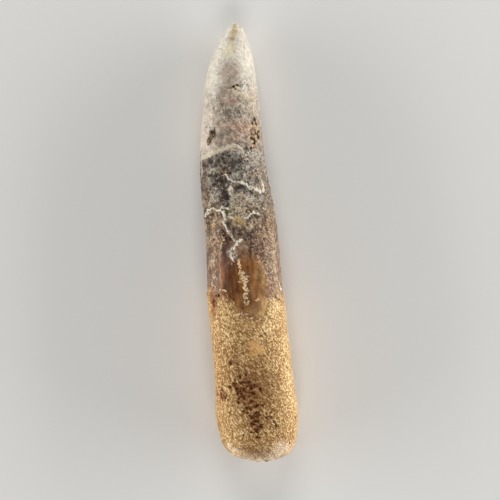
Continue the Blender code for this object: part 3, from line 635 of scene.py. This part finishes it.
class Shade:
    # a socket that can be used in sums
    def __init__(self, tree, socket=None):
        self.tree = tree
        self.socket = socket

    def node(self, kind, settings=None, inputs=None, output=0):
        made = self.tree.nodes.new(kind)
        for name, value in (settings or {}).items():
            setattr(made, name, value)
        for name, value in (inputs or {}).items():
            if isinstance(value, Shade):
                self.tree.links.new(value.socket, made.inputs[name])
            else:
                made.inputs[name].default_value = value
        return Shade(self.tree, made.outputs[output])

    def sum(self, operation, first, second):
        return self.node("ShaderNodeMath", {"operation": operation}, {0: first, 1: second})

    def __add__(self, other):
        return self.sum("ADD", self, other)

    def __radd__(self, other):
        return self.sum("ADD", other, self)

    def __sub__(self, other):
        return self.sum("SUBTRACT", self, other)

    def __rsub__(self, other):
        return self.sum("SUBTRACT", other, self)

    def __neg__(self):
        return self.sum("SUBTRACT", 0.0, self)

    def __mul__(self, other):
        return self.sum("MULTIPLY", self, other)

    def __rmul__(self, other):
        return self.sum("MULTIPLY", other, self)

    def step(self, low, high):
        # 0 below low, 1 above high, smooth between
        return self.node("ShaderNodeMapRange", {"interpolation_type": "SMOOTHSTEP"},
                         {"Value": self, "From Min": low, "From Max": high})

    def fall(self, low, high):
        # 1 below low, 0 above high, smooth between
        return 1 - self.step(low, high)

    def far(self, middle):
        # how far from a middle value, without sign
        return self.node("ShaderNodeMath", {"operation": "ABSOLUTE"}, {0: self - middle})

    def scaled(self, size):
        # a place counted in lumps of this size
        return self.node("ShaderNodeVectorMath", {"operation": "SCALE"}, {0: self, "Scale": 1 / size})

    def mixed(self, first, second):
        # first where this mask is 0, second where it is 1
        return self.node("ShaderNodeMix", {"data_type": "RGBA"}, {0: self, 6: first, 7: second}, 2)


def paint(red, green, blue):
    # a colour as a screen shows it, turned to the light values that a shader needs
    values = []
    for channel in (red, green, blue):
        share = channel / 255
        values.append(share / 12.92 if share <= 0.04045 else ((share + 0.055) / 1.055) ** 2.4)
    return (*values, 1.0)


# The fossil's colours, as a screen shows them. Glint is mostly a painted highlight, the palest bone
# colour is a painted highlight, and the bone's shade colour is partly painted shade.
shownColours = {
    "taupe": (206, 187, 163), "taupeDeep": (138, 118, 98), "ivory": (242, 234, 216),
    "ivoryCool": (216, 209, 196), "tipStain": (238, 216, 162), "tipDeep": (204, 166, 116),
    "cream": (248, 238, 200), "mauve": (182, 158, 138), "lilac": (202, 187, 175),
    "salmon": (202, 144, 114), "slate": (122, 110, 100), "plum": (62, 50, 43),
    "plumPale": (120, 107, 96), "brown": (86, 48, 28), "brownPale": (142, 102, 72),
    "umber": (36, 20, 11), "nest": (166, 146, 100), "dirt": (180, 158, 134),
    "glint": (228, 220, 202), "amber": (78, 34, 2), "amberPale": (142, 84, 26),
    "gold": (176, 132, 76), "greyBrown": (146, 114, 76), "rust": (122, 64, 44),
    "band": (222, 214, 188), "ash": (212, 206, 190), "straw": (238, 221, 186),
    "ochre": (232, 202, 136), "crumb": (214, 164, 114), "fleck": (218, 186, 148),
    "tan": (212, 172, 116), "vein": (246, 240, 222), "deposit": (234, 202, 158),
    "bone": (182, 141, 86), "bonePale": (220, 185, 127), "boneDeep": (120, 78, 38),
    "boneShade": (108, 62, 26), "boneHighlight": (244, 222, 172), "patch": (216, 164, 102),
    "dust": (232, 212, 184), "hollow": (78, 38, 16), "hollowPale": (134, 84, 44),
    "crownHollow": (112, 78, 46),
}
colours = {name: paint(*shown) for name, shown in shownColours.items()}

# The noises of the material: the size of a lump in millimetres, detail, roughness, how many times
# longer a lump is than it is wide, and how far it leans from the tooth's length, in degrees.
grains = {
    "cloud": (3.2, 3.0, 0.6, 1.0, 0),
    "tract": (1.9, 2.0, 0.5, 1.0, 0),
    "mottle": (1.0, 4.0, 0.65, 1.0, 0),
    "crease": (0.8, 3.0, 0.6, 1.0, 0),
    "crumb": (0.55, 4.0, 0.7, 1.0, 0),
    "speck": (0.34, 3.0, 0.6, 1.0, 0),
    "sand": (0.20, 2.0, 0.6, 1.0, 0),
    "fine": (0.17, 2.0, 0.6, 1.0, 0),
    "streak": (0.6, 2.0, 0.5, 7.0, 0),
    "thread": (0.32, 3.0, 0.6, 5.0, 0),
    "wrinkle": (0.26, 2.0, 0.5, 5.0, -50),
    "stroke": (0.17, 2.0, 0.5, 4.5, -36),
    "scratch": (0.15, 2.0, 0.5, 9.0, -38),
}

# The cells' two sizes in millimetres, and the noise that bends the gaps between the larger ones.
cellSizes = {"gaps": 0.55, "cells": 0.36, "driftScale": 1.8, "driftReach": 0.9}

# The gloss of enamel and bone.
finish = {
    "rough": 0.42, "roughMottle": 0.14, "roughRoot": 0.34, "roughDull": 0.28, "smoothGlassy": 0.1,
    "coat": 0.14, "coatRough": 0.25, "ior": 1.48, "specular": 0.3,
}


class Look:
    # what the material is laid out from: the noises, the mesh's marks and the masks made of both
    def __init__(self, tree):
        self.make = Shade(tree)
        place = self.make.node("ShaderNodeTexCoord", output=3).scaled(mm)
        for name, grain in grains.items():
            setattr(self, name, self.noiseAt(place, *grain))
        drift = self.make.node("ShaderNodeTexNoise", None, {
            "Vector": place, "Scale": cellSizes["driftScale"], "Detail": 2.0}, 1)
        bent = self.make.node("ShaderNodeVectorMath", {"operation": "MULTIPLY_ADD"}, {
            0: drift, 1: (cellSizes["driftReach"],) * 3, 2: place})
        # the gaps between the larger cells, lower in the relief and darkened with painted shade
        self.gaps = self.cellsAt(bent.scaled(cellSizes["gaps"])).step(0.50, 0.66)
        self.cells = self.cellsAt(place.scaled(cellSizes["cells"]))
        # ridges that carry a painted highlight, and grooves beside them that carry painted shadow; both
        # also shape the relief
        self.litRidge = self.crease.far(0.51).fall(0.015, 0.05) * self.speck.step(0.40, 0.52)
        self.shadedGroove = self.crease.far(0.42).fall(0.015, 0.05)
        self.coarse = self.mottle * 0.3 + self.crumb * 0.7
        self.grainy = self.speck * 0.55 + self.fine * 0.45
        self.dotted = self.speck * 0.5 + self.fine * 0.5
        self.grit = self.sand * 0.4 + self.fine * 0.1 + self.stroke * 0.4 + (0.7 - self.cells) * 0.15
        self.patchy = 0.1 + self.mottle * 0.8 + self.speck * 0.9
        self.busy = self.mark("busy")
        self.fold = self.mark("fold")
        self.across = self.mark("across")
        self.warm = self.mark("brown")
        self.dark = 1 - self.mark("amber")
        # the colour of painted glints, tan in the brown zone
        self.glint = (self.warm * 0.8).mixed(colours["glint"], colours["fleck"])

    def noiseAt(self, place, size, detail, roughness, stretch, lean):
        turned = self.make.node("ShaderNodeVectorRotate", {"rotation_type": "Z_AXIS"}, {
            "Vector": place, "Angle": math.radians(lean)})
        drawnOut = self.make.node("ShaderNodeMapping", None, {
            "Vector": turned, "Scale": (1 / size, 1 / (size * stretch), 1 / size)})
        return self.make.node("ShaderNodeTexNoise", None, {
            "Vector": drawnOut, "Scale": 1.0, "Detail": detail, "Roughness": roughness})

    def cellsAt(self, place):
        return self.make.node("ShaderNodeTexVoronoi", None, {"Vector": place, "Scale": 1.0})

    def mark(self, kind):
        return self.make.node("ShaderNodeAttribute", {"attribute_name": kind}, output=2)

    def soft(self, kind, low=0.06, high=0.62):
        # a mark's mask, broken up by the mottling
        return (self.mark(kind) * self.patchy).step(low, high)

    def lay(self, under, kind, amount, over=None, low=0.06, high=0.62):
        # a colour with a mark's colour over it
        return (self.soft(kind, low, high) * amount).mixed(under, over or colours[kind])


def tones(height, low, high, first, second):
    # two named colours, the first where the height is low and the second where it is high
    return height.step(low, high).mixed(colours[first], colours[second])


def crownColour(look):
    # the enamel's bands and stains, before its crust
    c, lay, soft = colours, look.lay, look.soft
    coarse, speck, cloud, busy, warm = look.coarse, look.speck, look.cloud, look.busy, look.warm
    streak, scratch, thread, wrinkle = look.streak, look.scratch, look.thread, look.wrinkle

    enamel = tones(coarse * 0.5 + speck * 0.5, 0.36, 0.62, "taupeDeep", "taupe")
    ivory = tones(cloud * 0.4 + speck * 0.6, 0.38, 0.60, "ivoryCool", "ivory")
    enamel = lay(enamel, "ivory", 1.0, ivory, 0.05, 1.0)
    enamel = lay(enamel, "lilac", 0.7, None, 0.0, 1.0)
    enamel = lay(enamel, "mauve", 0.8)
    enamel = lay(enamel, "tipStain", 0.9, tones(coarse, 0.42, 0.54, "tipDeep", "tipStain"))
    enamel = lay(enamel, "cream", 0.9)
    # painted shade in the hollows of the coarse relief and painted glints on its crests
    lively = 0.15 + busy * 0.5
    enamel = (coarse.fall(0.40, 0.50) * lively).mixed(enamel, c["taupeDeep"])
    enamel = (coarse.step(0.53, 0.64) * lively).mixed(enamel, c["glint"])
    enamel = lay(enamel, "plum", 1.0, tones(coarse, 0.40, 0.66, "plum", "plumPale"), 0.2, 0.7)
    enamel = lay(enamel, "brown", 1.0, tones(coarse, 0.40, 0.64, "brown", "brownPale"), 0.2, 0.8)
    amber = tones(streak * 0.6 + cloud * 0.4, 0.38, 0.62, "amber", "amberPale")
    enamel = lay(enamel, "amber", 1.0, amber, 0.1, 0.9)

    # threads down both flanks, then a grain that the crust and the flanks make stronger, with painted
    # shade in its hollows and painted glints on its peaks
    flanky = look.across.far(0.0).step(0.5, 0.85) * warm
    paleThread = tones(look.tract, 0.44, 0.56, "fleck", "glint")
    enamel = (flanky * thread.step(0.54, 0.61) * 0.5).mixed(enamel, paleThread)
    enamel = (flanky * thread.fall(0.43, 0.50) * 0.75).mixed(enamel, c["brown"])
    rugged = (0.12 + busy * 0.22 + flanky * 0.25) * look.dark
    holes = look.grainy.fall(0.40, 0.47) * rugged
    peaks = look.grainy.step(0.53, 0.60) * rugged * (1 - warm * 0.25)
    enamel = holes.mixed(enamel, warm.mixed(c["taupeDeep"], c["umber"]))
    enamel = peaks.mixed(enamel, look.glint)

    # the window's streaks, the stains, and the hairlines and folds of the smooth part
    enamel = (soft("gold", 0.0, 1.0) * (0.35 + streak)).mixed(enamel, c["gold"])
    enamel = lay(enamel, "greyBrown", 0.75, None, 0.0, 1.0)
    enamel = (soft("tan", 0.1, 0.8) * (0.25 + streak)).mixed(enamel, c["tan"])
    enamel = (soft("salmon") * (0.2 + scratch)).mixed(enamel, c["salmon"])
    enamel = lay(enamel, "slate", 0.75)
    hair = look.mark("lilac") * 0.45
    enamel = (hair * scratch.step(0.54, 0.64)).mixed(enamel, c["ivoryCool"])
    enamel = (hair * scratch.fall(0.38, 0.46)).mixed(enamel, c["taupeDeep"])
    # painted shade in the folds' hollows and painted highlight on their crests
    enamel = (look.fold * wrinkle.fall(0.40, 0.47) * 0.7).mixed(enamel, c["taupeDeep"])
    return (look.fold * wrinkle.step(0.54, 0.60) * 0.7).mixed(enamel, c["glint"])


def crustColour(look, enamel):
    # the crusty relief over the enamel: painted shade in its hollows, painted highlights and small
    # painted glints on its crests, and its blots
    c, mark, lay, soft = colours, look.mark, look.lay, look.soft
    coarse, crumb, speck, tract = look.coarse, look.crumb, look.speck, look.tract
    busy, warm, across = look.busy, look.warm, look.across
    scratch, wrinkle = look.scratch, look.wrinkle

    crestHighlight = (tract.step(0.44, 0.56) * (1 - warm)).mixed(c["fleck"], c["ash"])
    gloom = (0.58 - tract) * 1.2
    enamel = (busy * (tract - 0.45).step(0.02, 0.16) * 0.5).mixed(enamel, c["dirt"])
    # painted shade where the lumps and the coarse relief are low, painted highlight where they are high
    lump = mark("lump") + (crumb - 0.5) * 0.8
    hollowShade = (mark("plum") + warm).step(0.0, 1.0).mixed(c["slate"], c["umber"])
    enamel = (busy * (-lump).step(0.02, 0.16) * 0.85).mixed(enamel, hollowShade)
    enamel = (busy * (coarse - gloom * 0.4).fall(0.41, 0.50) * 0.5).mixed(enamel, c["umber"])
    dim = 1 - mark("plum") * 0.5
    high = lump.step(0.08, 0.22) * dim
    enamel = (busy * high * 0.8).mixed(enamel, crestHighlight)
    enamel = (busy * (coarse - gloom * 0.3).step(0.50, 0.57) * dim * 0.4).mixed(enamel, crestHighlight)
    # painted shade in the gaps between cells and in the grooves beside the ridges, painted highlight
    # along the ridges
    enamel = (busy * look.gaps * 0.6).mixed(enamel, c["umber"])
    enamel = (busy * look.shadedGroove * 0.6).mixed(enamel, c["umber"])
    enamel = (busy * look.litRidge * 0.6).mixed(enamel, crestHighlight)
    # small painted glints on the high lumps
    dots = look.dotted.step(0.55, 0.62) * (1 - warm * look.mottle.fall(0.46, 0.60))
    enamel = (busy * dots * high * 0.9).mixed(enamel, look.glint)
    enamel = lay(enamel, "rust", 0.75)
    enamel = (busy * scratch.step(0.55, 0.68) * 0.5 * (1 - warm * 0.6)).mixed(enamel, c["ash"])

    # slanting streaks on the right flank
    slanting = across.step(0.35, 0.7) * warm * look.dark * 0.65
    enamel = (slanting * wrinkle.step(0.55, 0.62) * 0.8).mixed(enamel, c["fleck"])
    enamel = (slanting * wrinkle.fall(0.43, 0.50)).mixed(enamel, c["brown"])

    # crumbs, dark holes and pale crusts, each with its own grain
    crumbs = soft("crumbs", 0.0, 0.8) * (crumb * 0.5 + look.sand * 0.5).step(0.50, 0.58)
    enamel = crumbs.mixed(enamel, tones(tract, 0.45, 0.55, "crumb", "straw"))
    enamel = lay(enamel, "umber", 0.9)
    broken = 0.3 + 0.7 * (crumb * 0.6 + speck * 0.4).step(0.46, 0.55)
    for kind, under in (("ash", "slate"), ("straw", "dirt"), ("ochre", "gold")):
        grainyColour = tones(look.grainy, 0.42, 0.54, under, kind)
        enamel = (soft(kind, 0.06, 0.7) * broken).mixed(enamel, grainyColour)
    enamel = lay(enamel, "band", 0.8, tones(coarse, 0.38, 0.56, "taupe", "band"), 0.1, 0.8)
    flecks = (speck + mark("flecks") * 0.12).step(0.62, 0.72) * mark("flecks").step(0.05, 0.5)
    enamel = (flecks * 0.7).mixed(enamel, c["fleck"])

    # painted shade: both flanks a little darker, the right one all along and the left one where the tip
    # is ivory; the crust on the left flank also browner in crumbs
    left = -across
    enamel = (across.step(0.35, 0.95) * 0.25).mixed(enamel, c["taupeDeep"])
    enamel = (left.step(0.6, 1.0) * mark("ivory") * 0.25).mixed(enamel, c["taupeDeep"])
    crustyLeft = left.step(0.55, 1.0) * busy * crumb.step(0.4, 0.6)
    return (crustyLeft * 0.4).mixed(enamel, c["brown"])


def rootColour(look):
    # granular bone, with its patches, painted highlights on its grains, painted light on its right
    # flank, painted shade on its left flank and, with brown staining, in its middle, and dust where it
    # is broken
    c, mark, lay, grit = colours, look.mark, look.lay, look.grit
    pale = tones(look.cloud * 0.6 + look.mottle * 0.4, 0.38, 0.62, "bone", "bonePale")
    # the light blots lift the bone's tone: partly painted light on the flanks, partly paler bone
    lit = grit + mark("light") * 0.04
    bone = lit.step(0.38, 0.58).mixed(c["boneDeep"], pale)
    # painted highlight on the high grains
    bone = (lit.step(0.50, 0.60) * 0.75).mixed(bone, c["boneHighlight"])
    # painted light on the right flank, painted shade on the left flank
    bone = (look.across.step(0.3, 1.0) * 0.08).mixed(bone, c["boneHighlight"])
    bone = ((-look.across).step(0.5, 1.0) * 0.1).mixed(bone, c["boneDeep"])
    bone = lay(bone, "patch", 0.75, None, 0.1, 0.9)
    # partly painted shade, the root's middle darker, and partly brown staining round the pits
    bone = ((mark("shade") * (1.3 - grit)).step(0.0, 0.9) * 0.76).mixed(bone, c["boneShade"])
    bone = lay(bone, "rust", 0.65)
    dusty = look.soft("dust", 0.05, 0.8) * (0.35 + grit.step(0.42, 0.56) * 0.55)
    bone = dusty.mixed(bone, c["dust"])
    bone = lay(bone, "greyBrown", 0.6, None, 0.05, 0.9)
    return (mark("end") * (0.3 + grit).step(0.6, 0.9) * 0.7).mixed(bone, c["dust"])


def fossilMaterial():
    material = bpy.data.materials.new("fossilEnamelAndBone")
    material.use_nodes = True
    tree = material.node_tree
    shader = tree.nodes["Principled BSDF"]
    look = Look(tree)
    c, mark, busy, crumb, speck = colours, look.mark, look.busy, look.crumb, look.speck

    jagged = (look.mottle - 0.5) * 5.0 + (speck - 0.5) * 4.0
    onRoot = (mark("crust") + jagged).step(-1.4, 1.4)
    offRoot = 1 - onRoot
    colour = onRoot.mixed(crustColour(look, crownColour(look)), rootColour(look))

    # veins, deposits, cracks and pits, with ragged edges
    ragged = (crumb - 0.5) * 2.6 + (speck - 0.5) * 2.4
    deposit = (mark("deposit") + ragged).step(0.40, 0.62) * mark("deposit").step(0.05, 0.3)
    vein = (mark("vein") + ragged).step(0.45, 0.65) * mark("vein").step(0.05, 0.3)
    halo = (mark("vein") * look.patchy).step(0.02, 0.7) * 0.4
    colour = deposit.mixed(colour, tones(speck, 0.35, 0.62, "greyBrown", "deposit"))
    colour = halo.mixed(colour, c["straw"])
    colour = vein.mixed(colour, tones(look.dotted, 0.28, 0.46, "straw", "vein"))
    crack = (mark("crack") + ragged).step(0.45, 0.80) * mark("crack").step(0.05, 0.3)
    colour = (crack * 0.8).mixed(colour, c["umber"])
    hollow = (mark("pit") * 1.3 + ragged * 0.55).step(0.35, 0.90) * mark("pit").step(0.03, 0.3)
    inCrown = tones(speck, 0.48, 0.64, "umber", "crownHollow")
    inBone = tones(look.sand, 0.48, 0.60, "hollow", "hollowPale")
    colour = hollow.mixed(colour, onRoot.mixed(inCrown, inBone))
    nest = (mark("nest") + ragged * 0.2).step(0.40, 0.70)
    colour = (nest * look.dotted.step(0.49, 0.58) * 0.9).mixed(colour, c["nest"])

    # gloss, and the relief that is too fine for the mesh
    dull = (vein + deposit + crack + hollow).step(0.1, 0.9)
    glassy = mark("amber") * (1 - dull) * offRoot
    polish = mark("crust").fall(-2.5, -0.6) * (1 - dull) * (1 - busy * 0.5)
    polish = polish * (1 - look.across.far(0.0).step(0.45, 0.85) * 0.7)
    rough = finish["rough"] + finish["roughMottle"] * look.mottle + finish["roughRoot"] * onRoot
    rough = rough + finish["roughDull"] * dull * offRoot - glassy * finish["smoothGlassy"]
    crusty = look.grainy * look.dark * 0.12 + look.coarse * (0.06 + busy * 0.70)
    crusty = crusty + busy * (look.litRidge - look.shadedGroove - look.gaps) * 0.09
    crusty = crusty + look.scratch * (0.015 + busy * 0.03) + look.fold * look.wrinkle * 0.4
    relief = onRoot * look.grit * 0.15 + offRoot * crusty
    relief = relief + (vein + deposit) * 0.05 - hollow * 0.05
    bump = look.make.node("ShaderNodeBump", None, {
        "Strength": 1.0, "Distance": mm, "Height": relief})

    tree.links.new(colour.socket, shader.inputs["Base Color"])
    tree.links.new(rough.socket, shader.inputs["Roughness"])
    tree.links.new((polish * finish["coat"]).socket, shader.inputs["Coat Weight"])
    tree.links.new(bump.socket, shader.inputs["Normal"])
    shader.inputs["Coat Roughness"].default_value = finish["coatRough"]
    shader.inputs["IOR"].default_value = finish["ior"]
    shader.inputs["Specular IOR Level"].default_value = finish["specular"]
    return material


fossil = makeTooth()
fossil.data.materials.append(fossilMaterial())
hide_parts("tooth")
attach(fossil, "root")
print("tooth finished")

# The floor that the tooth lies on.
floor = {"size": 6.0, "colour": paint(222, 220, 216), "roughness": 0.85}


def makeFloor():
    bm = bmesh.new()
    bmesh.ops.create_grid(bm, x_segments=2, y_segments=2, size=floor["size"] / 2)
    mesh = bpy.data.meshes.new("floor")
    bm.to_mesh(mesh)
    bm.free()
    material = bpy.data.materials.new("paleFloor")
    material.use_nodes = True
    shader = material.node_tree.nodes["Principled BSDF"]
    shader.inputs["Base Color"].default_value = floor["colour"]
    shader.inputs["Roughness"].default_value = floor["roughness"]
    mesh.materials.append(material)
    linked("floor", mesh)


# The lights: a low wide softbox on each side of the tooth, and one past each of its ends.
lights = {
    "softLeft": {"at": (-0.30, 0.0, 0.052), "size": (0.40, 0.10), "watts": 1.3},
    "softRight": {"at": (0.30, 0.0, 0.052), "size": (0.40, 0.10), "watts": 1.6},
    "softFar": {"at": (0.0, 0.45, 0.35), "size": (0.30, 0.20), "watts": 1.15, "shine": False},
    "softNear": {"at": (0.0, -0.45, 0.35), "size": (0.30, 0.20), "watts": 1.15, "shine": False},
}
sky = {"colour": (0.95, 0.97, 1.0, 1.0), "strength": 0.10}


def makeLights():
    for name, light in lights.items():
        lamp = bpy.data.lights.new(name, "AREA")
        lamp.shape = "RECTANGLE"
        lamp.size, lamp.size_y = light["size"]
        lamp.energy = light["watts"]
        made = linked(name, lamp)
        made.location = light["at"]
        made.rotation_euler = (-made.location).to_track_quat("-Z", "Y").to_euler()
        made.visible_glossy = light.get("shine", True)
    world = bpy.data.worlds.new("sky")
    world.use_nodes = True
    background = world.node_tree.nodes["Background"]
    background.inputs["Color"].default_value = sky["colour"]
    background.inputs["Strength"].default_value = sky["strength"]
    bpy.context.scene.world = world


# The camera looks straight down, a little turned, so that the tip leans to the left.
view = {"middle": (0.649, -1.55, 4.5), "across": 84.19, "lens": 100.0, "sensor": 36.0, "turned": -3.81}


def makeCamera():
    lens = bpy.data.cameras.new("camera")
    lens.lens = view["lens"]
    lens.sensor_width = view["sensor"]
    made = linked("camera", lens)
    x, y, z = view["middle"]
    away = view["across"] * view["lens"] / view["sensor"]
    made.location = (x * mm, y * mm, (z + away) * mm)
    made.rotation_euler = (0.0, 0.0, math.radians(view["turned"]))
    bpy.context.scene.camera = made


makeFloor()
makeLights()
makeCamera()
bpy.context.scene.view_settings.view_transform = "Standard"
print("floor, lights and camera set")
